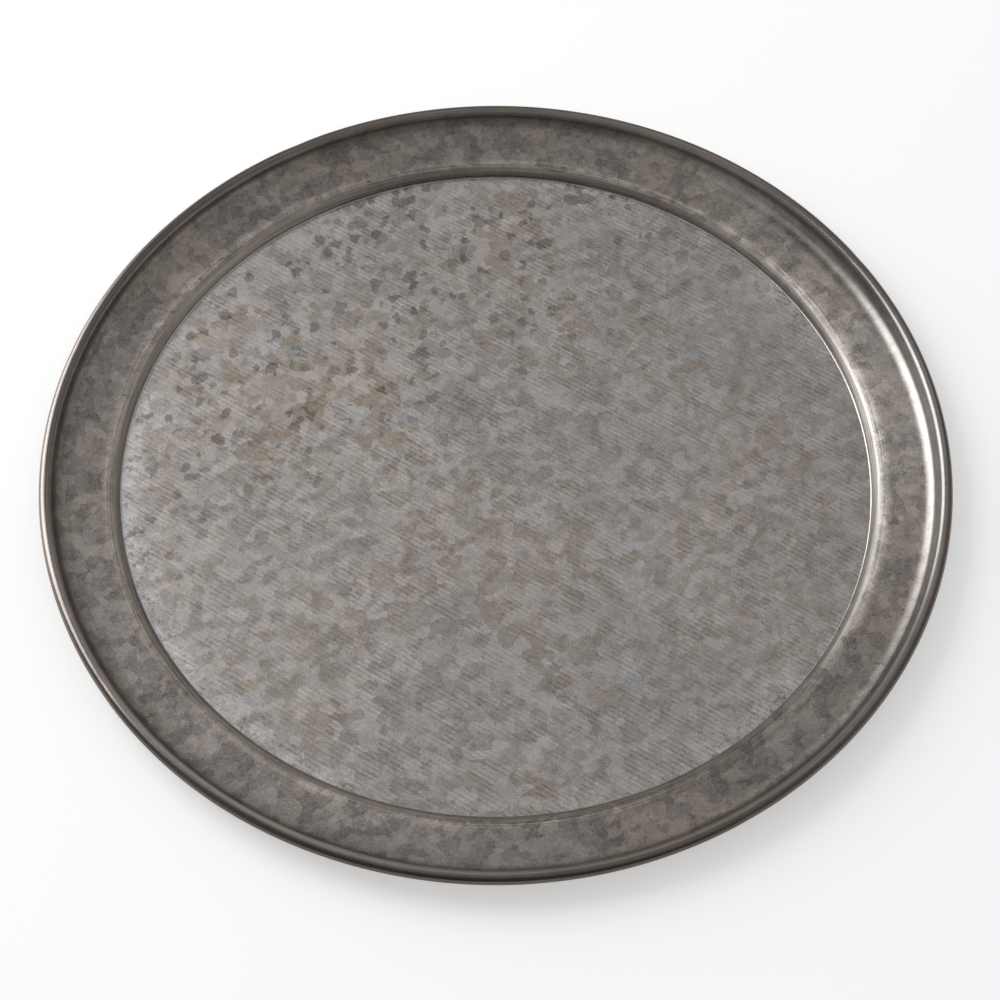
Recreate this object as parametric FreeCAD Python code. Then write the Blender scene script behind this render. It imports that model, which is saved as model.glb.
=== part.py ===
"""Round galvanised steel drain pan: a flat floor plate seamed and soldered into a pressed ring with a wired rim.

Frame: +Z up, origin on the underside of the floor plate at its centre, millimetres.
Every piece is a solid of revolution about Z. The two sheet pieces are drawn in the half-plane
(radius, height) as a centre line of straight runs and bends, which is then given the sheet's thickness.
"""
import FreeCAD
import Part
import math
import os
from FreeCAD import Vector

# Stock
SHEET = 0.7                 # 24 gauge galvanised sheet
WIRE_DIAMETER = 4.5         # 7 gauge wire in the rim
WIRE_SLACK = 0.05           # room between the wire and the sheet curled round it

# Overall sizes
OUTER_RADIUS = 203.0        # 16 in across the rim
RIM_HEIGHT = 14.8           # top of the rim above the ground
FLOOR_OPENING_RADIUS = 168.4    # innermost point of the ring, round the open floor

# Floor seam: the ring's foot lies on the plate, and the plate's edge folds back over it
FOOT_WIDTH = 5.0            # from the floor opening to the foot's outer end
FOLD_RADIUS = 1.0           # outside radius of the ring's fold above the floor
SEAM_POCKET = 0.5           # space beyond the foot's end that solder fills
LIP_WIDTH = 3.0             # how far the plate's edge comes back over the foot

# Step, shoulder and flange
STEP_ANGLE = 47.0           # slope of the step above the horizontal, degrees
STEP_RUN = 1.6              # straight length of the step
SHOULDER_BREAK_RADIUS = 4.0     # outside radius at the top of the step
SHOULDER_CROWN_RADIUS = 15.0    # outside radius where the shoulder eases into the flange
SHOULDER_MID_ANGLE = 22.0   # slope where the two shoulder radii meet, degrees
FLANGE_ANGLE = 3.0          # rise of the flange towards the rim, degrees

# Rim
RIM_FILLET_RADIUS = 7.4     # inside radius from the flange up to the rim
CURL_END = -210.0           # heading of the sheet where the curl round the wire ends, degrees

HALF_SHEET = SHEET / 2.0
BEAD_RADIUS = WIRE_DIAMETER / 2.0 + WIRE_SLACK + SHEET
FOOT_END_RADIUS = FLOOR_OPENING_RADIUS + FOOT_WIDTH
SQUARE = 90.0               # quarter of a turn, degrees
INWARD = 180.0              # heading towards the axis, degrees
HALF_TURN = 180.0           # turn of the plate's edge back on itself, degrees


def point(radius, height):
    """A point of the half-plane that is turned about Z."""
    return Vector(radius, 0.0, height)


def direction(heading):
    """Unit vector of a heading: 0 is away from the axis, 90 is up."""
    angle = math.radians(heading)
    return Vector(math.cos(angle), 0.0, math.sin(angle))


class SheetSection:
    """Section of a bent sheet, grown along its centre line from a start point and heading."""

    def __init__(self, start, heading):
        self.place = start
        self.heading = heading
        self.left_edges = []
        self.right_edges = []
        self.start_corners = self.corners()

    def corners(self):
        """The sheet's two surfaces at the present place, left and right of the heading."""
        across = direction(self.heading + SQUARE) * HALF_SHEET
        return self.place + across, self.place - across

    def run(self, length):
        """Go straight on."""
        left, right = self.corners()
        self.place = self.place + direction(self.heading) * length
        new_left, new_right = self.corners()
        self.left_edges.append(Part.makeLine(left, new_left))
        self.right_edges.append(Part.makeLine(right, new_right))

    def bend(self, radius, turn):
        """Turn on a centre-line radius, to the left for a positive turn in degrees."""
        side = math.copysign(SQUARE, turn)
        centre = self.place + direction(self.heading + side) * radius
        left, right = self.corners()
        spoke = self.heading - side
        middle = direction(spoke + turn / 2.0)
        self.place = centre + direction(spoke + turn) * radius
        self.heading = self.heading + turn
        new_left, new_right = self.corners()
        outward = math.copysign(HALF_SHEET, turn)
        left_middle = centre + middle * (radius - outward)
        right_middle = centre + middle * (radius + outward)
        self.left_edges.append(Part.Arc(left, left_middle, new_left).toShape())
        self.right_edges.append(Part.Arc(right, right_middle, new_right).toShape())

    def revolve(self):
        """Close the section and turn it about Z into a solid."""
        start_cap = Part.makeLine(*self.start_corners)
        end_cap = Part.makeLine(*self.corners())
        edges = self.left_edges + self.right_edges + [start_cap, end_cap]
        return turned_solid(edges)


def turned_solid(edges):
    """Solid of revolution of a closed outline drawn in the half-plane."""
    outline = Part.Wire(Part.__sortEdges__(edges))
    return Part.Face(outline).revolve(Vector(0.0, 0.0, 0.0), Vector(0.0, 0.0, 1.0), 360.0)


def make_floor_plate():
    """Flat disc whose edge runs under the ring's foot and folds back over it."""
    section = SheetSection(point(0.0, HALF_SHEET), 0.0)
    section.run(FOOT_END_RADIUS + SEAM_POCKET)
    section.bend(SHEET, HALF_TURN)
    section.run(SEAM_POCKET + LIP_WIDTH)
    return section.revolve()


def make_flange_ring(bead_centre):
    """Pressed ring: foot, fold, step, shoulder, flange, fillet and the curl round the wire."""
    section = SheetSection(point(FOOT_END_RADIUS, SHEET + HALF_SHEET), INWARD)
    section.run(FOOT_WIDTH - FOLD_RADIUS)
    section.bend(FOLD_RADIUS - HALF_SHEET, STEP_ANGLE - INWARD)
    section.run(STEP_RUN)
    section.bend(SHOULDER_BREAK_RADIUS - HALF_SHEET, SHOULDER_MID_ANGLE - STEP_ANGLE)
    section.bend(SHOULDER_CROWN_RADIUS - HALF_SHEET, FLANGE_ANGLE - SHOULDER_MID_ANGLE)

    fillet_radius = RIM_FILLET_RADIUS + HALF_SHEET
    curl_radius = BEAD_RADIUS - HALF_SHEET
    outward = direction(FLANGE_ANGLE)
    upward = direction(FLANGE_ANGLE + SQUARE)
    to_bead = bead_centre - section.place
    rise = fillet_radius - to_bead.dot(upward)
    reach = math.sqrt((fillet_radius + curl_radius) ** 2 - rise ** 2)
    section.run(to_bead.dot(outward) - reach)
    spoke = bead_centre - section.place - upward * fillet_radius
    wall_angle = math.degrees(math.atan2(spoke.x, -spoke.z))
    section.bend(fillet_radius, wall_angle - FLANGE_ANGLE)
    section.bend(curl_radius, CURL_END - wall_angle)
    return section.revolve()


def make_rim_wire(bead_centre):
    """Round wire that stiffens the rim."""
    return Part.makeTorus(bead_centre.x, WIRE_DIAMETER / 2.0, Vector(0.0, 0.0, bead_centre.z))


def make_seam_solder():
    """Ring of solder in the pocket between the foot's end and the fold of the plate."""
    fold_radius = FOOT_END_RADIUS + SEAM_POCKET
    low_inner = point(FOOT_END_RADIUS, SHEET)
    low_outer = point(fold_radius, SHEET)
    high_outer = point(fold_radius, 2.0 * SHEET)
    high_inner = point(FOOT_END_RADIUS, 2.0 * SHEET)
    bulge = point(fold_radius + HALF_SHEET, SHEET + HALF_SHEET)
    return turned_solid([
        Part.makeLine(low_inner, low_outer),
        Part.Arc(low_outer, bulge, high_outer).toShape(),
        Part.makeLine(high_outer, high_inner),
        Part.makeLine(high_inner, low_inner),
    ])


def main():
    bead_centre = point(OUTER_RADIUS - BEAD_RADIUS, RIM_HEIGHT - BEAD_RADIUS)
    pieces = {
        "floor_plate": make_floor_plate(),
        "flange_ring": make_flange_ring(bead_centre),
        "rim_wire": make_rim_wire(bead_centre),
        "seam_solder": make_seam_solder(),
    }
    os.makedirs("parts", exist_ok=True)
    for name, shape in pieces.items():
        box = shape.optimalBoundingBox(False, False)
        print(f"{name}: valid {shape.isValid()}, {shape.Volume:.0f} mm3,",
              f"radius {box.XMax:.2f}, height {box.ZMin:.2f} to {box.ZMax:.2f}")
        shape.exportStep(os.path.join("parts", f"{name}.step"))


main()
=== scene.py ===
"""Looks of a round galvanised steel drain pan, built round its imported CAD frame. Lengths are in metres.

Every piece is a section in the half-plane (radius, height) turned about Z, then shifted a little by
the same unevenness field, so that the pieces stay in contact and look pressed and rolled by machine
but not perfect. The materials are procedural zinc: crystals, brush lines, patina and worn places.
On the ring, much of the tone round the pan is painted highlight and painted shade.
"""
import math
from types import SimpleNamespace

import bpy
import numpy as np
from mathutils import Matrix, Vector


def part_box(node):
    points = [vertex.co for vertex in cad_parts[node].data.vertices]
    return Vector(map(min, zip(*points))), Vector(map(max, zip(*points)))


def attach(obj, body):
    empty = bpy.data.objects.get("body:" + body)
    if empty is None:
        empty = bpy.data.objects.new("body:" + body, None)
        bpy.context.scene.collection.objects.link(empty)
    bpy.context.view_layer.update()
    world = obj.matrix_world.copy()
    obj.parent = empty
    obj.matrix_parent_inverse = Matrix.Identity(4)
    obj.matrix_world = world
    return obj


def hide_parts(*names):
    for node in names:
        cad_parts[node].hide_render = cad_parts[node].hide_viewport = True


MM = 0.001

# Stock and section of the pan, as the CAD model has them
SHEET = 0.7 * MM
WIRE_RADIUS = 2.25 * MM
WIRE_SLACK = 0.05 * MM
OPENING_RADIUS = 168.4 * MM     # innermost point of the ring, round the open floor
FOOT_WIDTH = 5.0 * MM
FOLD_RADIUS = 1.0 * MM
SEAM_POCKET = 0.5 * MM
LIP_WIDTH = 3.0 * MM
STEP_ANGLE = 47.0
STEP_RUN = 1.6 * MM
BREAK_RADIUS = 4.0 * MM
CROWN_RADIUS = 15.0 * MM
SHOULDER_MID_ANGLE = 22.0
FLANGE_ANGLE = 3.0
RIM_HEIGHT = 14.8 * MM
FILLET_RADIUS = 7.4 * MM
CURL_END = -210.0
# Section of a raw edge: share of the way across the sheet, and sheets inward
RAW_EDGE = ((0.0, 0.30), (0.10, 0.08), (0.5, 0.0), (0.90, 0.08), (1.0, 0.30))
HALF_SHEET = SHEET / 2
FOOT_END = OPENING_RADIUS + FOOT_WIDTH
CURL_RADIUS = WIRE_RADIUS + WIRE_SLACK + HALF_SHEET

# Run of solder in the corner between the floor and the ring
SOLDER_LEG = 0.5 * MM
SOLDER_RAGGEDNESS = 0.12 * MM
# Waves of its inner edge: (cycles, phase, share) each
SOLDER_RAGS = ((23, 0.3, 0.25), (41, 1.9, 0.25), (67, 4.4, 0.2), (109, 2.2, 0.15), (173, 0.8, 0.15))
SOLDER_SINK = 0.15 * MM         # how far the run reaches into the ring's fold
SOLDER_EDGE = 0.02 * MM         # thickness of the run's thin edges

# Fineness of the meshes
TURN_STEPS = 720                # steps round the pan
BEND_STEP = 6.0                 # degrees of bend per step
RUN_STEP = 2.5 * MM             # length of run per step
FLOOR_STEP = 3.0 * MM
WIRE_STEPS = 48                 # sides of the wire's section

# Camera and studio
CAMERA_DISTANCE = 1.195
CAMERA_TILT = 31.8              # degrees from straight down
CAMERA_LENS = 95.69             # mm
CAMERA_SENSOR = 36              # mm
CAMERA_AIM = Vector((0.00183, -0.01306, 0.0))
STUDIO_HALF = 6.0               # half the width of the ground
GROUND_GAP = 0.05 * MM          # how far the ground lies below the pan
GROUND_GLOW = 0.40
# Strength of the surround, rising with the direction's Y: dim in front, brighter elsewhere
WORLD_SHADE = (("From Min", -0.9), ("From Max", -0.5), ("To Min", 0.13), ("To Max", 0.36))
# Soft lights: name, place, size and brightness
LIGHTS = (("key", (-1.81, 1.16, 1.27), (1.75, 2.45), 2.9),
          ("fill", (0.65, 1.35, 2.0), (1.7, 1.5), 0.18))

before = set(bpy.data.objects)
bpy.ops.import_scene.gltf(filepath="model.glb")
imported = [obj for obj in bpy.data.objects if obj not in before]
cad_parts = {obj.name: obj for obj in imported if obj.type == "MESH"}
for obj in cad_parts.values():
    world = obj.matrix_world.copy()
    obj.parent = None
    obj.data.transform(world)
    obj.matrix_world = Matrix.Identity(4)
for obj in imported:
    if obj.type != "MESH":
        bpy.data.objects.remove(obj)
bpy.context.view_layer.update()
OUTER_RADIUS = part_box("flange_ring")[1].x
BEAD_RADIUS = CURL_RADIUS + HALF_SHEET
BEAD_CENTRE = np.array([OUTER_RADIUS - BEAD_RADIUS, RIM_HEIGHT - BEAD_RADIUS])


# ---------------------------------------------------------------- sections

class SheetSection:
    """Section of a bent sheet, grown along its centre line as in the CAD model, and sampled."""

    def __init__(self, radius, height, heading, run_step=RUN_STEP):
        self.place = np.array([radius, height])
        self.heading = heading
        self.run_step = run_step
        self.left = []
        self.right = []
        self.mark()

    def mark(self):
        """Take down the sheet's two surfaces at the present place."""
        across = heading_vector(self.heading + 90) * HALF_SHEET
        self.left.append(self.place + across)
        self.right.append(self.place - across)

    def run(self, length):
        """Go on straight ahead."""
        steps = max(1, round(length / self.run_step))
        for _ in range(steps):
            self.place = self.place + heading_vector(self.heading) * length / steps
            self.mark()

    def bend(self, radius, turn):
        """Turn on a centre-line radius, to the left for a positive turn in degrees."""
        side = math.copysign(90, turn)
        centre = self.place + heading_vector(self.heading + side) * radius
        steps = max(2, math.ceil(abs(turn) / BEND_STEP))
        for _ in range(steps):
            self.heading += turn / steps
            self.place = centre + heading_vector(self.heading - side) * radius
            self.mark()

    def loop(self):
        """Closed outline of the section, with its raw edges slightly rounded."""
        start = sheared_edge(self.right[0], self.left[0], self.right[1] - self.right[0])
        end = sheared_edge(self.left[-1], self.right[-1], self.left[-2] - self.left[-1])
        return start + self.left[1:-1] + end + self.right[-2:0:-1]


def heading_vector(heading):
    """Unit vector of a heading in degrees: 0 is away from the axis, 90 is up."""
    angle = math.radians(heading)
    return np.array([math.cos(angle), math.sin(angle)])


def sheared_edge(first, last, inward):
    """Points of a sheet's raw edge with its two corners rounded."""
    across = last - first
    inward = inward / np.linalg.norm(inward) * SHEET
    return [first + across * along + inward * depth for along, depth in RAW_EDGE]


def floor_section():
    """Floor from the axis out, folded back over the ring's foot."""
    section = SheetSection(0.0, HALF_SHEET, 0.0, FLOOR_STEP)
    section.run(FOOT_END + SEAM_POCKET)
    section.bend(SHEET, 180)
    section.run(SEAM_POCKET + LIP_WIDTH)
    return section


def ring_section():
    """Ring from the foot in the seam up the step, out over the flange and round the wire."""
    section = SheetSection(FOOT_END, SHEET + HALF_SHEET, 180)
    section.run(FOOT_WIDTH - FOLD_RADIUS)
    section.bend(FOLD_RADIUS - HALF_SHEET, STEP_ANGLE - 180)
    section.run(STEP_RUN)
    section.bend(BREAK_RADIUS - HALF_SHEET, SHOULDER_MID_ANGLE - STEP_ANGLE)
    section.bend(CROWN_RADIUS - HALF_SHEET, FLANGE_ANGLE - SHOULDER_MID_ANGLE)

    fillet = FILLET_RADIUS + HALF_SHEET
    outward = heading_vector(FLANGE_ANGLE)
    upward = heading_vector(FLANGE_ANGLE + 90)
    to_bead = BEAD_CENTRE - section.place
    rise = fillet - to_bead @ upward
    section.run(to_bead @ outward - math.sqrt((fillet + CURL_RADIUS) ** 2 - rise ** 2))
    spoke = BEAD_CENTRE - section.place - upward * fillet
    wall_angle = math.degrees(math.atan2(spoke[0], -spoke[1]))
    section.bend(fillet, wall_angle - FLANGE_ANGLE)
    section.bend(CURL_RADIUS, CURL_END - wall_angle)
    return section


def arc(centre, radius, first, last, steps):
    """Points of an arc between two directions in degrees, both ends included."""
    return [np.array(centre) + heading_vector(a) * radius for a in np.linspace(first, last, steps + 1)]


# ---------------------------------------------------------------- unevenness

def smooth(value, low, high):
    """0 below low, 1 above high, eased between."""
    t = np.clip((value - low) / (high - low), 0, 1)
    return t * t * (3 - 2 * t)


def wander(angle, waves):
    """Sum of slow waves round the pan: (cycles, phase, share) each."""
    return sum(share * np.sin(cycles * angle + phase) for cycles, phase, share in waves)


def hump(angle, direction, spread):
    """1 in a direction round the pan, falling to 0 beside it; direction and spread in degrees."""
    away = (angle - math.radians(direction) + math.pi) % (2 * math.pi) - math.pi
    return np.exp(-(away / math.radians(spread)) ** 2)


# Waves of the rim and flange: (cycles, phase, share) each
RIM_LIFT = ((2, 0.7, 0.45), (3, 2.1, 0.30), (5, 4.0, 0.15), (9, 1.2, 0.07), (17, 0.4, 0.03))
RIM_REACH = ((2, 3.9, 0.5), (3, 0.3, 0.2), (7, 5.1, 0.18), (13, 2.6, 0.12))
FLANGE_RIPPLE = ((11, 0.9, 0.4), (19, 3.3, 0.3), (31, 5.6, 0.3))
LIFT_SIZE = 0.10 * MM
REACH_SIZE = 0.03 * MM
BULGE_DIRECTION = -127.0        # the rim stands out a little here, degrees
BULGE_SPREAD = 17.0
BULGE_SIZE = 0.35 * MM
RIPPLE_SIZE = 0.05 * MM
FLOOR_BELLY = 0.30 * MM         # how far the thin floor stands off the ground between its touching points
KNOCK_DENT = 0.7                # how far a knock goes inward, of its depth

# Small knocks in the rim: angle in degrees, half width along the rim in degrees, depth
KNOCKS = ((-58, 1.6, 0.16 * MM), (33, 1.2, 0.12 * MM), (118, 2.0, 0.15 * MM),
          (163, 1.0, 0.08 * MM), (214, 1.7, 0.12 * MM), (276, 1.1, 0.10 * MM))


def uneven(points):
    """Move points a little, as rolling, pressing and use leave a thin pan. No point goes below the ground."""
    x, y, z = points.T
    radius = np.hypot(x, y)
    angle = np.arctan2(y, x)
    rim = smooth(radius, OPENING_RADIUS, OUTER_RADIUS)
    flange = smooth(radius, OPENING_RADIUS + 4 * MM, 180 * MM)
    flange *= 1 - smooth(radius, 188 * MM, 196 * MM)
    raised = smooth(z, 3 * SHEET, 5 * MM)       # the seam and its solder keep their height
    lift = LIFT_SIZE * rim * raised * (wander(angle, RIM_LIFT) - 1)
    lift += RIPPLE_SIZE * flange * raised * wander(angle + radius * 6, FLANGE_RIPPLE)
    reach = REACH_SIZE * rim * (wander(angle, RIM_REACH) - 1)
    reach += BULGE_SIZE * rim * hump(angle, BULGE_DIRECTION, BULGE_SPREAD)
    bead = smooth(radius, BEAD_CENTRE[0] - 5 * MM, BEAD_CENTRE[0])
    for place, width, depth in KNOCKS:
        knock = hump(angle, place, width) * bead
        lift -= depth * knock
        reach -= KNOCK_DENT * depth * knock
    belly = 0.5 + 0.25 * np.sin(21 * x + 1.3) * np.cos(17 * y - 0.4)
    belly += 0.25 * np.sin(33 * x - 26 * y + 2.0)
    lift += FLOOR_BELLY * belly * (1 - smooth(radius, 0.6 * OPENING_RADIUS, OPENING_RADIUS - 2 * MM))
    stretch = 1 + reach / np.maximum(radius, MM)
    return np.column_stack((x * stretch, y * stretch, z + lift))


# ---------------------------------------------------------------- meshes

def turn_angles():
    """Directions of the steps round the pan, as a column."""
    return np.arange(TURN_STEPS)[:, None] * 2 * math.pi / TURN_STEPS


def turned_points(radius, height, angle, count):
    """Points of a section of count points at every angle, section after section."""
    height = np.broadcast_to(height, (TURN_STEPS, count))
    return np.stack((radius * np.cos(angle), radius * np.sin(angle), height), axis=2).reshape(-1, 3)


def turned_mesh(name, outline, shape=None):
    """Turn a closed outline about Z. shape(radius, height, angle) may vary the section on its way round."""
    radius, height = np.array(outline).T
    count = len(outline)
    angle = turn_angles()
    if shape is not None:
        radius, height = shape(radius, height, angle)
    faces = []
    for turn in range(TURN_STEPS):
        here = turn * count
        beside = (turn + 1) % TURN_STEPS * count
        for side in range(count):
            after = (side + 1) % count
            faces.append((here + side, beside + side, beside + after, here + after))
    return finished_object(name, turned_points(radius, height, angle, count), faces)


def finished_object(name, points, faces):
    """Object of the points, made uneven."""
    mesh = bpy.data.meshes.new(name)
    mesh.from_pydata(uneven(points).tolist(), [], faces)
    mesh.validate()
    mesh.shade_smooth()
    piece = bpy.data.objects.new(name, mesh)
    bpy.context.scene.collection.objects.link(piece)
    return piece


def disc_mesh(name, section):
    """Turn a sheet section that starts on the axis, with one vertex at each centre."""
    upper = section.left[1:-1]
    lower = section.right[1:-1]
    edge = sheared_edge(section.left[-1], section.right[-1], section.left[-2] - section.left[-1])
    radius, height = np.array(upper + edge + lower[::-1]).T
    count = len(radius)
    points = turned_points(radius, height, turn_angles(), count)
    top, bottom = len(points), len(points) + 1
    points = np.vstack((points, (0, 0, SHEET), (0, 0, 0)))
    faces = []
    for turn in range(TURN_STEPS):
        here = turn * count
        beside = (turn + 1) % TURN_STEPS * count
        faces.append((top, here, beside))
        faces.append((bottom, beside + count - 1, here + count - 1))
        for side in range(count - 1):
            faces.append((here + side, here + side + 1, beside + side + 1, beside + side))
    return finished_object(name, points, faces)


def solder_corner_shape(radius, height, angle):
    """Let the inner edge of the corner solder wander over the floor."""
    near_floor = smooth(OPENING_RADIUS - radius, 0.0, SOLDER_LEG)
    return radius + SOLDER_RAGGEDNESS * wander(angle, SOLDER_RAGS) * near_floor, height


def corner_solder():
    """Hollow-faced run of solder from the floor up to the ring's fold."""
    fold_centre = (OPENING_RADIUS + FOLD_RADIUS, SHEET + FOLD_RADIUS)
    hollow_centre = (OPENING_RADIUS - SOLDER_LEG, SHEET + SOLDER_LEG)
    hollow = arc(hollow_centre, SOLDER_LEG - SOLDER_EDGE, -90, 0, 12)
    buried = arc(fold_centre, FOLD_RADIUS - SOLDER_SINK, 180, 250, 5)
    under = [np.array([hollow[0][0], SHEET - 0.1 * MM])]
    return turned_mesh("corner_solder", hollow + buried + under, shape=solder_corner_shape)


def pocket_solder():
    """Solder in the pocket beyond the end of the ring's foot."""
    fold = (FOOT_END + SEAM_POCKET, SHEET + HALF_SHEET)
    bulge = arc(fold, HALF_SHEET, -90, 90, 8)
    inner = [np.array([FOOT_END, 2 * SHEET]), np.array([FOOT_END, SHEET])]
    return turned_mesh("pocket_solder", bulge + inner)


def rim_wire():
    """Drawn wire in the curl."""
    last = 360 - 360 / WIRE_STEPS
    return turned_mesh("rim_wire_round", arc(BEAD_CENTRE, WIRE_RADIUS, 0, last, WIRE_STEPS - 1))


# ---------------------------------------------------------------- materials

class Shading:
    """Short-hand for a material's nodes."""

    def __init__(self, name):
        self.material = bpy.data.materials.new(name)
        self.material.use_nodes = True
        self.tree = self.material.node_tree
        self.surface = self.tree.nodes["Principled BSDF"]
        self.place = self.add("ShaderNodeTexCoord").outputs["Object"]
        parts = self.add("ShaderNodeSeparateXYZ", {"Vector": self.place})
        self.x, self.y, self.z = parts.outputs
        self.radius = self.math("SQRT", self.math("ADD", self.square(self.x), self.square(self.y)))
        self.angle = self.math("ARCTAN2", self.y, self.x)

    def add(self, kind, inputs=None, **settings):
        """New node with its settings, and its inputs linked or set."""
        node = self.tree.nodes.new(kind)
        for key, value in settings.items():
            setattr(node, key, value)
        for key, value in (inputs or {}).items():
            self.feed(node.inputs[key], value)
        return node

    def feed(self, socket, value):
        """Link an output to a socket, or set the socket to a constant."""
        if isinstance(value, bpy.types.NodeSocket):
            self.tree.links.new(value, socket)
        else:
            socket.default_value = value

    def math(self, operation, first, second=0.0, third=0.0):
        node = self.add("ShaderNodeMath", {0: first, 1: second, 2: third}, operation=operation)
        return node.outputs[0]

    def square(self, value):
        return self.math("MULTIPLY", value, value)

    def vector(self, x, y, z):
        return self.add("ShaderNodeCombineXYZ", {"X": x, "Y": y, "Z": z}).outputs[0]

    def step(self, value, low, high, out_low=0.0, out_high=1.0):
        """Ease from out_low at low to out_high at high."""
        node = self.add("ShaderNodeMapRange", {"Value": value, "From Min": low, "From Max": high,
                                               "To Min": out_low, "To Max": out_high},
                        interpolation_type="SMOOTHSTEP")
        return node.outputs["Result"]

    def band(self, value, low, high, blur):
        """1 between low and high, easing to 0 over blur on both sides."""
        rise = self.step(value, low - blur, low + blur)
        fall = self.step(value, high - blur, high + blur, 1.0, 0.0)
        return self.math("MULTIPLY", rise, fall)

    def noise(self, vector, scale, detail=2.0, roughness=0.5, colour=False):
        """Cloudy noise of about 0.5, grey or coloured."""
        node = self.add("ShaderNodeTexNoise", {"Vector": vector, "Scale": scale, "Detail": detail,
                                               "Roughness": roughness})
        return node.outputs["Color" if colour else "Fac"]

    def mix(self, factor, first, second, blend="MIX"):
        """Colour between first at 0 and second at 1."""
        node = self.add("ShaderNodeMix", data_type="RGBA", blend_type=blend)
        self.feed(node.inputs[0], factor)
        self.feed(node.inputs[6], first)
        self.feed(node.inputs[7], second)
        return node.outputs[2]

    def scaled(self, colour, factor):
        """Colour times a grey factor."""
        grey = self.vector(factor, factor, factor)
        return self.mix(1.0, colour, grey, "MULTIPLY")

    def warped(self, amount, scale, detail, roughness):
        """The surface point pushed about by noise, so that crystal edges wander."""
        push = self.noise(self.place, scale, detail, roughness, colour=True)
        centred = self.add("ShaderNodeVectorMath", {0: push, 1: (0.5, 0.5, 0.5)}, operation="SUBTRACT")
        sized = self.add("ShaderNodeVectorMath", {0: centred.outputs[0], "Scale": amount}, operation="SCALE")
        moved = self.add("ShaderNodeVectorMath", {0: self.place, 1: sized.outputs[0]}, operation="ADD")
        return moved.outputs[0]

    def shifted(self, place, offset):
        """The same point in another part of the texture."""
        shift = (offset, offset * 0.7, offset * 1.3)
        return self.add("ShaderNodeVectorMath", {0: place, 1: shift}, operation="ADD").outputs[0]

    def varied(self, level, patterns):
        """A level changed by patterns of 0 to 1, each centred on its middle: (pattern, share)."""
        for pattern, share in patterns:
            level = self.math("MULTIPLY_ADD", self.math("SUBTRACT", pattern, 0.5), share, level)
        return level

    def mixed(self, factor, first, second):
        """Number between first and second."""
        return self.math("MULTIPLY_ADD", self.math("SUBTRACT", second, first), factor, first)

    def wear_and_painted_light(self, lobes):
        """Factor that changes round the pan: (direction in degrees, narrowness, change)."""
        factor = 1.0
        for heading, narrowness, change in lobes:
            factor = self.math("MULTIPLY_ADD", self.lobe(heading, narrowness), change, factor)
        return factor

    def lobe(self, heading, narrowness):
        """1 in the given direction round the pan in degrees, easing to 0 on both sides."""
        angle = math.radians(heading)
        facing = self.math("DIVIDE", self.math("ADD", self.math("MULTIPLY", self.x, math.cos(angle)),
                                               self.math("MULTIPLY", self.y, math.sin(angle))), self.radius)
        return self.math("POWER", self.math("MAXIMUM", facing, 0.0), narrowness)

    def profile(self, value, stops):
        """Smooth curve through (millimetres, level) stops."""
        low, high = stops[0][0], stops[-1][0]
        node = self.add("ShaderNodeValToRGB", {"Fac": self.math("DIVIDE", self.math(
            "SUBTRACT", value, low * MM), (high - low) * MM)})
        ramp = node.color_ramp
        ramp.interpolation = "EASE"
        for place, _ in stops[1:-1]:
            ramp.elements.new((place - low) / (high - low))
        for element, (_, level) in zip(ramp.elements, stops):
            element.color = (level, level, level, 1)
        return node.outputs["Color"]

    def crystal_place(self, size, wander_by, offset):
        """Point to look up crystals at, so that their borders wander."""
        return self.shifted(self.warped(size * wander_by, 1.1 / size, 2.0, 0.5), offset)

    def outlines(self, size, wander_by, offset, width):
        """1 on the thin borders between the crystals of the same size and offset."""
        place = self.crystal_place(size, wander_by, offset)
        border = self.add("ShaderNodeTexVoronoi", {"Vector": place, "Scale": 1 / size},
                          feature="DISTANCE_TO_EDGE")
        return self.step(border.outputs["Distance"], 0.0, width / size, 1.0, 0.0)

    def crystals(self, size, wander_by, offset=0.0):
        """A random value for each zinc crystal of about the given size, mostly near 0 or near 1."""
        place = self.crystal_place(size, wander_by, offset)
        cells = self.add("ShaderNodeTexVoronoi", {"Vector": place, "Scale": 1 / size})
        pick = self.add("ShaderNodeSeparateColor", {"Color": cells.outputs["Color"]})
        return self.step(pick.outputs[0], 0.15, 0.85)

    def finish(self, colour, roughness, height, depth, metallic=1.0):
        """Wire up the surface. height is 0 to 1 and depth its size in metres."""
        bump = self.add("ShaderNodeBump", {"Height": height, "Strength": 1.0, "Distance": depth})
        self.feed(self.surface.inputs["Base Color"], colour)
        self.feed(self.surface.inputs["Roughness"], roughness)
        self.feed(self.surface.inputs["Normal"], bump.outputs["Normal"])
        self.surface.inputs["Metallic"].default_value = metallic
        return self.material


BRUSH_HEADING = math.radians(-32.0)     # direction of the brush lines on the floor
BRUSH_PITCH = 2.24 * MM
LINE_TONE = 0.130                       # how far the brush lines lighten and darken the floor
RUST_SPECK = (112 * MM, 1 * MM)         # a tiny spot of rust on the floor
# Places round the floor: direction in degrees and narrowness
SPOTTED_SIDE = (125.0, 1.0)
SCRAPED_SIDE = (-155.0, 2.0)
SCRAPED_SPOTS = ((76.0, 30.0), (34.0, 60.0), (-48.0, 30.0))

FLOOR_ZINC = (0.452, 0.415, 0.390, 1)
FLOOR_STAIN = (0.450, 0.378, 0.309, 1)
FLOOR_COOL = (0.430, 0.422, 0.417, 1)
RUST = (0.50, 0.20, 0.07, 1)


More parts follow.
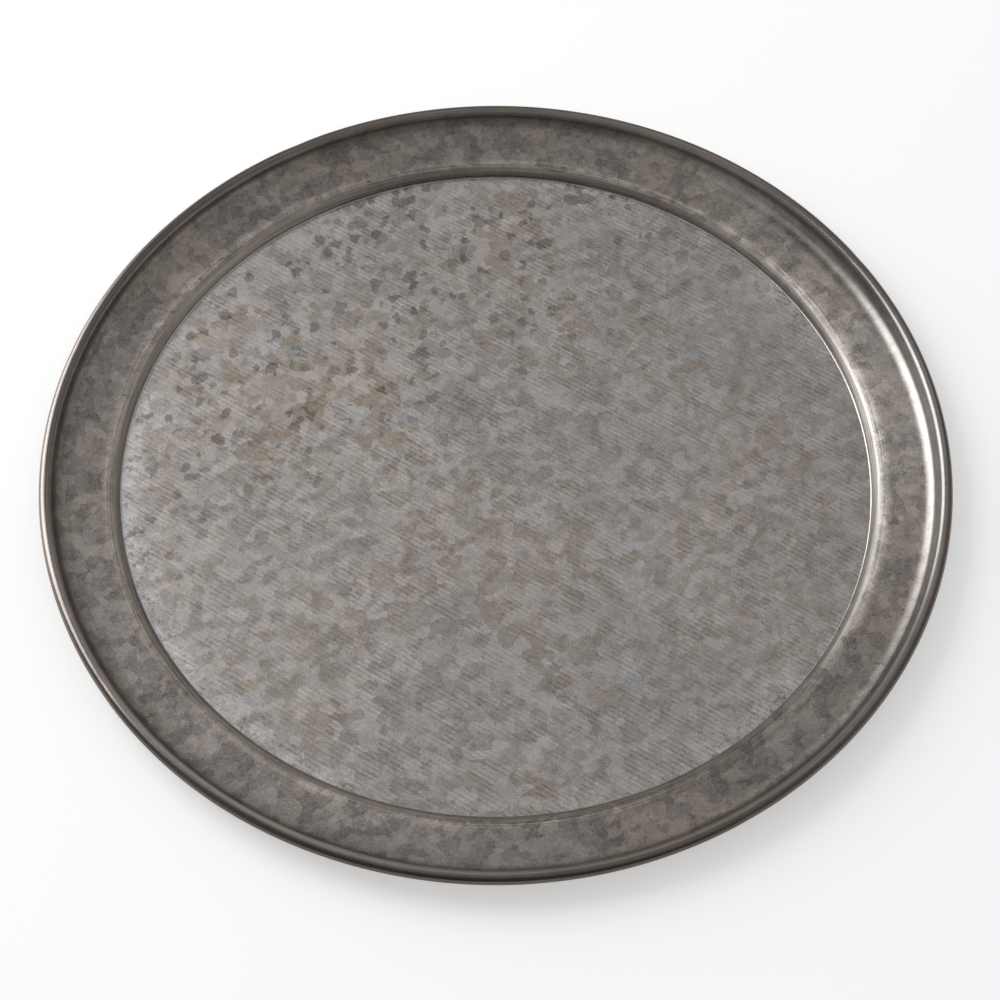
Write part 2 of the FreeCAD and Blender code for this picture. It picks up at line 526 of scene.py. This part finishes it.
def brush_lines(s):
    """Fine parallel furrows across the floor, from -1 to 1, and the strokes that fray them."""
    along = s.math("ADD", s.math("MULTIPLY", s.x, math.cos(BRUSH_HEADING)),
                   s.math("MULTIPLY", s.y, math.sin(BRUSH_HEADING)))
    across = s.math("SUBTRACT", s.math("MULTIPLY", s.y, math.cos(BRUSH_HEADING)),
                    s.math("MULTIPLY", s.x, math.sin(BRUSH_HEADING)))
    drift = s.noise(s.place, 9.0, 2.0)
    phase = s.math("ADD", s.math("MULTIPLY", across, 2 * math.pi / BRUSH_PITCH),
                   s.math("MULTIPLY", drift, 3.0))
    strokes = s.noise(s.vector(s.math("MULTIPLY", along, 70.0), s.math("MULTIPLY", across, 900.0), 0.0),
                      1.0, 3.0)
    return s.math("SINE", phase), strokes


def stain_patches(s, size, chosen, offset):
    """Irregular patches on a few of the crystals. chosen is the share of crystals left without one."""
    place = s.shifted(s.warped(size * 1.5, 0.8 / size, 3.0, 0.60), offset)
    cells = s.add("ShaderNodeTexVoronoi", {"Vector": place, "Scale": 1 / size})
    pick = s.add("ShaderNodeSeparateColor", {"Color": cells.outputs["Color"]})
    present = s.step(pick.outputs[0], chosen, chosen + 0.02)
    reach = s.math("MULTIPLY_ADD", pick.outputs[1], 0.34, 0.36)
    inside = s.step(s.math("SUBTRACT", cells.outputs["Distance"], reach), -0.03, 0.03, 1.0, 0.0)
    depth = s.math("MULTIPLY_ADD", pick.outputs[2], 0.6, 0.4)
    return s.math("MULTIPLY", s.math("MULTIPLY", present, inside), depth)


def floor_patterns(s):
    """The floor's patterns, each from 0 to 1."""
    return SimpleNamespace(
        big=s.crystals(9.0 * MM, 0.7),
        middle=s.crystals(5.2 * MM, 0.7, 0.31),
        outline=s.outlines(5.2 * MM, 0.7, 0.31, 0.45 * MM),
        small=s.crystals(2.6 * MM, 0.7, 0.77),
        cover=s.crystals(6.5 * MM, 0.8, 1.37),
        blotch=s.noise(s.place, 14.0, 4.0, 0.6),
        cloud=s.noise(s.place, 45.0, 3.0, 0.6),
        fine=s.noise(s.place, 1300.0, 2.0))


def scraped_edge(s, p):
    """1 where the edge of the floor is scraped bright."""
    side = s.lobe(*SCRAPED_SIDE)
    for heading, narrowness in SCRAPED_SPOTS:
        side = s.math("MAXIMUM", side, s.lobe(heading, narrowness))
    reach = s.math("MULTIPLY_ADD", p.blotch, 30 * MM, s.radius)
    return s.math("MULTIPLY", side, s.step(reach, 168 * MM, 184 * MM))


def dark_spots(s, p):
    """Dark patches, crowded at the far left."""
    far_left = s.math("MULTIPLY", s.lobe(*SPOTTED_SIDE), s.radius)
    crowding = s.step(s.math("MULTIPLY_ADD", p.blotch, 0.20, far_left), 0.08, 0.20, 0.15, 1.0)
    spots = s.math("MAXIMUM", stain_patches(s, 4.6 * MM, 0.80, 0.53),
                   stain_patches(s, 6.4 * MM, 0.83, 0.91))
    return s.math("MULTIPLY", spots, crowding)


def floor_tone(s, p, lines, strokes, edge):
    """Lightness of the floor's zinc, about 1."""
    tone = s.varied(1.0, ((p.big, 0.11), (p.middle, 0.18), (p.small, 0.12), (p.blotch, 0.36),
                          (p.cloud, 0.10), (strokes, 0.36), (p.fine, 0.84)))
    marked = s.math("MULTIPLY", p.outline, s.step(p.cloud, 0.42, 0.58))
    tone = s.math("MULTIPLY_ADD", marked, -0.11, tone)
    tone = s.math("MULTIPLY_ADD", lines, LINE_TONE, tone)
    tone = s.math("MULTIPLY", tone, s.math("MULTIPLY_ADD", dark_spots(s, p), -0.46, 1.03))
    flakes = s.step(s.noise(s.place, 420.0, 3.0, 0.6), 0.56, 0.62)
    scraping = s.math("MULTIPLY_ADD", edge, s.math("MULTIPLY_ADD", flakes, -0.50, 0.22), 1.0)
    return s.math("MULTIPLY", tone, scraping)


def floor_hue(s, p, edge):
    """Colour of the floor: grey, with brown stain mostly at the left, cool places and a speck of rust."""
    stain = s.step(s.noise(s.place, 12.0, 4.0, 0.65), 0.42, 0.60)
    stain = s.math("MULTIPLY", stain, s.step(p.middle, 0.7, 0.2))
    across = s.math("MULTIPLY_ADD", p.blotch, 60 * MM, s.x)
    stain = s.math("MULTIPLY", stain, s.step(across, -60 * MM, 90 * MM, 1.0, 0.45))
    colour = s.mix(stain, FLOOR_ZINC, FLOOR_STAIN)
    chill = s.math("MULTIPLY", s.step(s.noise(s.place, 24.0, 3.0), 0.48, 0.62), s.step(p.big, 0.3, 0.7))
    colour = s.mix(s.math("MAXIMUM", s.math("MULTIPLY", chill, 0.8), edge), colour, FLOOR_COOL)
    away = s.math("ADD", s.square(s.math("SUBTRACT", s.x, RUST_SPECK[0])),
                  s.square(s.math("SUBTRACT", s.y, RUST_SPECK[1])))
    speck = s.step(s.math("SQRT", away), 0.3 * MM, 0.9 * MM, 0.8, 0.0)
    return s.mix(speck, colour, RUST)


def brushed_floor():
    """Lighter zinc with fine straight brush lines, wandering crystals and brown stain."""
    s = Shading("brushed_galvanised_floor")
    p = floor_patterns(s)
    wave, strokes = brush_lines(s)
    strength = s.math("MULTIPLY", s.step(p.cover, 0.22, 0.42, 0.06, 1.0),
                      s.step(p.cloud, 0.36, 0.60, 0.45, 1.0))
    lines = s.math("MULTIPLY", wave, strength)
    edge = scraped_edge(s, p)
    colour = s.scaled(floor_hue(s, p, edge), floor_tone(s, p, lines, strokes, edge))
    roughness = s.math("MULTIPLY_ADD", p.middle, 0.10, 0.38)
    height = s.math("ADD", s.math("MULTIPLY", lines, 0.5), s.math("MULTIPLY", strokes, 0.6))
    return s.finish(colour, roughness, height, 0.010 * MM)


# Tone of the ring's zinc by radius in mm: darker step, which is painted shade in the corner by the floor;
# lighter crest; dull flange; fillet; bead; and a dark outside to the bead, which is painted shade standing
# in for the dim surround that it reflects
RING_TONES_AND_PAINTED_SHADE = ((168.4, 0.27), (169.8, 0.33), (171.6, 0.29), (172.7, 0.31), (173.6, 0.37), (174.6, 0.35),
              (176.2, 0.282), (190.0, 0.270), (193.0, 0.310), (196.0, 0.330), (199.0, 0.290),
              (200.2, 0.250), (201.8, 0.122), (203.3, 0.112))
# Change of tone round the pan in each zone, partly worn patina and partly painted light: direction in
# degrees, narrowness and change of tone. Painted highlight: the lifts on the crest, flange, fillet and bead
# at the right (0 to 14 degrees) and on the bead's outside at the left (175 degrees), where the key light's
# highlights fall.
# Painted shade: the darker step and crease at the right, and the dimmer fillet and bead towards the upper
# right (34 to 37 degrees).
STEP_WEAR_AND_PAINTED_LIGHT = ((0, 3.0, -0.40), (-110, 2.0, 0.22), (140, 8.0, 0.45), (85, 4.0, -0.05))
CREST_WEAR_AND_PAINTED_LIGHT = ((0, 4.0, 1.20), (-45, 8.0, -0.50), (48, 12.0, -0.10), (-90, 4.0, 0.08), (-125, 3.0, 0.25),
              (155, 5.0, 0.35))
FLANGE_WEAR_AND_PAINTED_LIGHT = ((14, 6.0, 0.74), (-125, 4.0, 0.22), (140, 3.0, -0.07))
FILLET_WEAR_AND_PAINTED_LIGHT = ((8, 6.0, 0.58), (37, 45.0, -0.62))
CREASE_WEAR_AND_PAINTED_LIGHT = ((0, 3.0, -0.55), (140, 1.0, 0.15), (70, 4.0, 0.25))
BEAD_WEAR_AND_PAINTED_LIGHT = ((0, 3.0, 0.12), (34, 40.0, -0.38), (155, 3.0, -0.45), (-128, 5.0, 0.50))
OUTER_WEAR_AND_PAINTED_LIGHT = ((175, 5.0, 1.20), (90, 2.0, 0.10), (-25, 2.0, 0.15))
# Where one zone of worn patina and painted light eases into the next: radius in mm from and to, and the lobes
# beyond
ZONES_OF_WEAR_AND_PAINTED_LIGHT = ((170.4, 171.4, CREST_WEAR_AND_PAINTED_LIGHT), (175.4, 178.0, FLANGE_WEAR_AND_PAINTED_LIGHT), (187.0, 191.5, FILLET_WEAR_AND_PAINTED_LIGHT),
              (194.6, 195.8, CREASE_WEAR_AND_PAINTED_LIGHT), (197.4, 198.4, BEAD_WEAR_AND_PAINTED_LIGHT), (200.4, 201.2, OUTER_WEAR_AND_PAINTED_LIGHT))
# Places round the ring: direction in degrees and narrowness
POLISHED_SIDE = (8.0, 3.0)
# painted highlight: the side where the neutral hue of the highlights is painted into the ring's colour
HIGHLIGHT_HUE_SIDE = (0.0, 4.0)
SCUFFED_SIDE = (50.0, 6.0)
# painted highlight: the left, where the key light falls on the bead's outside and the brown is taken out
KEY_LIT_SIDE = (175.0, 3.0)

RING_GREY = (1.0, 0.905, 0.845, 1)
RING_BROWN = (1.0, 0.865, 0.715, 1)
# neutral hue of the painted highlights at the right
RING_HIGHLIGHT_HUE = (1.0, 0.955, 0.915, 1)
# brown of the bead's outside: partly grime, partly painted shade
RING_GRIME_AND_SHADE = (1.0, 0.815, 0.70, 1)


def ring_patterns(s):
    """The ring's patterns, each from 0 to 1. spun is the marks of spinning, drawn out round the pan."""
    turning = s.vector(s.math("MULTIPLY", s.radius, 1500.0), s.math("MULTIPLY", s.angle, 3.0),
                       s.math("MULTIPLY", s.z, 1500.0))
    return SimpleNamespace(
        big=s.crystals(9.5 * MM, 0.8, 0.11),
        middle=s.crystals(4.6 * MM, 0.8, 0.43),
        blotch=s.noise(s.place, 30.0, 4.0, 0.6),
        cloud=s.noise(s.place, 110.0, 4.0, 0.6),
        speck=s.noise(s.place, 420.0, 2.0),
        fine=s.noise(s.place, 1300.0, 3.0),
        spun=s.noise(turning, 1.0, 2.0))


def ring_zones(s):
    """Parts of the ring by radius, each from 0 to 1. mottled is where the crystals show."""
    fillet = s.step(s.radius, 190.5 * MM, 194.5 * MM)
    polished = s.math("MULTIPLY", fillet, s.lobe(*POLISHED_SIDE))
    return SimpleNamespace(
        shoulder=s.band(s.radius, 168.0 * MM, 175.0 * MM, 1.5 * MM),
        fillet=fillet,
        mottled=s.math("MULTIPLY", s.band(s.radius, 172.0 * MM, 197.0 * MM, 2.0 * MM),
                       s.math("MULTIPLY_ADD", polished, -0.9, 1.0)),
        bead=s.step(s.radius, 197.5 * MM, 200.0 * MM))


def zone_wear_and_painted_light(s):
    """Change of tone round the pan, zone by zone from the step out to the bead: partly worn by handling,
    partly painted highlight and painted shade.
    """
    factor = s.wear_and_painted_light(STEP_WEAR_AND_PAINTED_LIGHT)
    for inner, outer, lobes in ZONES_OF_WEAR_AND_PAINTED_LIGHT:
        factor = s.mixed(s.step(s.radius, inner * MM, outer * MM), factor, s.wear_and_painted_light(lobes))
    return factor


def shoulder_scuffs(s):
    """Factor of the bright scuffs along the shoulder at the far right."""
    drawn_out = s.vector(s.math("MULTIPLY", s.radius, 1300.0), s.math("MULTIPLY", s.angle, 22.0), 0.0)
    streaks = s.step(s.noise(drawn_out, 1.0, 3.0, 0.6), 0.42, 0.60)
    scuffs = s.math("MULTIPLY", s.band(s.radius, 171.4 * MM, 174.2 * MM, 0.6 * MM), streaks)
    return s.math("MULTIPLY_ADD", s.math("MULTIPLY", scuffs, s.lobe(*SCUFFED_SIDE)), 0.45, 1.0)


def ring_tone(s, p, zones):
    """Lightness of the ring's zinc, with the painted shade and painted highlight of the radius profile and of
    the zones round the pan.
    """
    turned = s.math("ADD", s.math("MULTIPLY", zones.shoulder, 1.7), s.math("MULTIPLY", zones.fillet, 0.15))
    turned = s.math("MULTIPLY_ADD", zones.bead, 0.75, turned)
    tone = s.varied(0.0, ((p.big, 0.20), (p.middle, 0.31), (p.blotch, 0.44), (p.cloud, 0.34),
                          (p.speck, 0.52), (p.fine, 1.18)))
    tone = s.math("MULTIPLY_ADD", tone, s.math("MULTIPLY_ADD", zones.mottled, 0.8, 0.2), 1.0)
    marks = s.math("MULTIPLY", s.math("SUBTRACT", p.spun, 0.5), s.math("ADD", turned, 0.10))
    tone = s.math("ADD", tone, marks)
    # the radius profile and the zone factors hold painted shade and painted highlight as well as the zinc's
    # own tone
    for factor in (s.profile(s.radius, RING_TONES_AND_PAINTED_SHADE), zone_wear_and_painted_light(s), shoulder_scuffs(s)):
        tone = s.math("MULTIPLY", tone, factor)
    return tone


def ring_hue(s, p, zones):
    """Colour of the ring: grey and brown patches; a neutral hue at the right, which is painted highlight; a
    brown outside, partly grime and partly painted shade, paler at the left under a painted highlight.
    """
    warm = s.math("MULTIPLY", s.step(s.noise(s.place, 15.0, 3.0), 0.42, 0.62),
                  s.step(p.middle, 0.1, 0.6, 0.3, 1.0))
    tint = s.math("MAXIMUM", s.math("MULTIPLY", warm, 0.6), s.math("MULTIPLY", zones.shoulder, 0.5))
    # painted highlight: the shoulder, fillet and rim at the right take the neutral hue of the highlights
    # there
    painted_highlight_hue = s.math("ADD", s.math("MULTIPLY", zones.shoulder, 0.6), zones.fillet)
    painted_highlight_hue = s.math("MULTIPLY", s.lobe(*HIGHLIGHT_HUE_SIDE), painted_highlight_hue)
    colour = s.mix(painted_highlight_hue, s.mix(tint, RING_GREY, RING_BROWN), RING_HIGHLIGHT_HUE)
    # the bead's outside is browned, partly grime and partly painted shade, less so at the left where a
    # painted highlight lies
    key_lit = s.math("MULTIPLY", s.lobe(*KEY_LIT_SIDE), 0.8)
    grime_and_shade = s.math("MULTIPLY", s.step(s.radius, 199.8 * MM, 201.2 * MM), s.math("SUBTRACT", 1.0, key_lit))
    return s.mix(grime_and_shade, colour, RING_GRIME_AND_SHADE)


def ring_roughness(s, p, zones):
    """Smoother on the shoulder and the rolled rim, uneven on the flange."""
    rolled = s.step(s.radius, 193.5 * MM, 198.0 * MM)
    smoothness = s.math("MAXIMUM", s.math("MULTIPLY", zones.shoulder, 0.5), rolled)
    dull = s.step(s.radius, 184.0 * MM, 190.5 * MM, 1.0, 0.0)
    uneven_gloss = s.math("MULTIPLY", p.middle, s.math("MULTIPLY", dull, 0.07))
    return s.math("SUBTRACT", s.math("ADD", uneven_gloss, 0.375), s.math("MULTIPLY", smoothness, 0.12))


def aged_ring():
    """Darker zinc patina: mottled flange, scuffed lighter shoulder, brown creases darkened at the right by
    painted shade, and a smooth rolled rim; painted highlight at the right and on the bead's outside at the
    left, painted shade in the step and on the bead's dark outside.
    """
    s = Shading("aged_galvanised_ring")
    p = ring_patterns(s)
    zones = ring_zones(s)
    colour = s.scaled(ring_hue(s, p, zones), ring_tone(s, p, zones))
    height = s.math("ADD", s.math("MULTIPLY", p.spun, 0.6), s.math("MULTIPLY", p.fine, 0.3))
    height = s.math("MULTIPLY", height, s.math("MULTIPLY_ADD", zones.fillet, -0.75, 1.0))
    return s.finish(colour, ring_roughness(s, p, zones), height, 0.006 * MM)


def bright_solder():
    """Smooth solder, dulled in places."""
    s = Shading("bright_solder")
    dull = s.noise(s.place, 160.0, 3.0)
    colour = s.scaled((0.62, 0.61, 0.58, 1), s.math("MULTIPLY_ADD", dull, 0.5, 0.7))
    roughness = s.math("MULTIPLY_ADD", dull, 0.25, 0.12)
    return s.finish(colour, roughness, s.noise(s.place, 500.0, 2.0), 0.01 * MM)


def drawn_wire():
    """Grey drawn wire with faint lengthwise scratches."""
    s = Shading("drawn_wire")
    scratches = s.noise(s.vector(s.math("MULTIPLY", s.radius, 4000.0), s.math("MULTIPLY", s.angle, 8.0),
                                 s.math("MULTIPLY", s.z, 4000.0)), 1.0, 2.0)
    colour = s.scaled((0.42, 0.41, 0.40, 1), s.math("MULTIPLY_ADD", scratches, 0.5, 0.75))
    roughness = s.math("MULTIPLY_ADD", scratches, 0.2, 0.30)
    return s.finish(colour, roughness, scratches, 0.01 * MM)


def studio_floor_material():
    """Nearly white matt ground that glows a little."""
    s = Shading("studio_floor")
    tone = s.noise(s.place, 3.0, 2.0)
    colour = s.scaled((0.93, 0.93, 0.93, 1), s.math("MULTIPLY_ADD", tone, 0.02, 0.99))
    s.surface.inputs["Emission Color"].default_value = (1, 1, 1, 1)
    s.surface.inputs["Emission Strength"].default_value = GROUND_GLOW
    return s.finish(colour, 0.9, tone, 0.01 * MM, metallic=0.0)


# ---------------------------------------------------------------- stage, lights and camera

def stage_floor():
    """Pale ground just below the pan."""
    half = STUDIO_HALF
    corners = [(-half, -half, 0), (half, -half, 0), (half, half, 0), (-half, half, 0)]
    mesh = bpy.data.meshes.new("studio_floor")
    mesh.from_pydata(corners, [], [(0, 1, 2, 3)])
    floor = bpy.data.objects.new("studio_floor", mesh)
    floor.location.z = -GROUND_GAP
    bpy.context.scene.collection.objects.link(floor)
    mesh.materials.append(studio_floor_material())


def soft_panel(name, place, size, brightness):
    """Rectangular soft light of the given brightness, turned towards the middle of the pan."""
    light = bpy.data.lights.new(name, "AREA")
    light.shape = "RECTANGLE"
    light.size, light.size_y = size
    light.energy = brightness * size[0] * size[1] * math.pi
    panel = bpy.data.objects.new(name, light)
    panel.location = place
    panel.rotation_euler = (-Vector(place)).to_track_quat("-Z", "Y").to_euler()
    bpy.context.scene.collection.objects.link(panel)


def studio_world():
    """Dim surround, darkest in front."""
    world = bpy.data.worlds.new("studio")
    world.use_nodes = True
    tree = world.node_tree
    direction = tree.nodes.new("ShaderNodeTexCoord")
    parts = tree.nodes.new("ShaderNodeSeparateXYZ")
    shade = tree.nodes.new("ShaderNodeMapRange")
    shade.interpolation_type = "SMOOTHSTEP"
    for socket, value in WORLD_SHADE:
        shade.inputs[socket].default_value = value
    tree.links.new(direction.outputs["Generated"], parts.inputs[0])
    tree.links.new(parts.outputs["Y"], shade.inputs["Value"])
    tree.links.new(shade.outputs["Result"], tree.nodes["Background"].inputs["Strength"])
    tree.nodes["Background"].inputs["Color"].default_value = (1, 1, 1, 1)
    bpy.context.scene.world = world


def studio():
    """Surround and two soft lights."""
    studio_world()
    for light in LIGHTS:
        soft_panel(*light)
    bpy.context.scene.view_settings.view_transform = "Standard"


def camera():
    """The photo's view."""
    tilt = math.radians(CAMERA_TILT)
    data = bpy.data.cameras.new("camera")
    data.lens = CAMERA_LENS
    data.sensor_width = CAMERA_SENSOR
    view = bpy.data.objects.new("camera", data)
    view.location = (0, -CAMERA_DISTANCE * math.sin(tilt), CAMERA_DISTANCE * math.cos(tilt))
    view.rotation_euler = (CAMERA_AIM - view.location).to_track_quat("-Z", "Y").to_euler()
    bpy.context.scene.collection.objects.link(view)
    bpy.context.scene.camera = view


# ---------------------------------------------------------------- the pan

def dress(piece, material, node=None):
    """Give a piece its material and body, and let it stand for its CAD node."""
    piece.data.materials.append(material)
    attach(piece, "root")
    if node is not None:
        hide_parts(node)


def main():
    """Stage the studio, then build and dress the pieces."""
    stage_floor()
    studio()
    camera()
    dress(disc_mesh("pan_floor", floor_section()), brushed_floor(), "floor_plate")
    dress(turned_mesh("pan_ring", ring_section().loop()), aged_ring(), "flange_ring")
    dress(rim_wire(), drawn_wire(), "rim_wire")
    solder = bright_solder()
    dress(pocket_solder(), solder, "seam_solder")
    dress(corner_solder(), solder)


main()
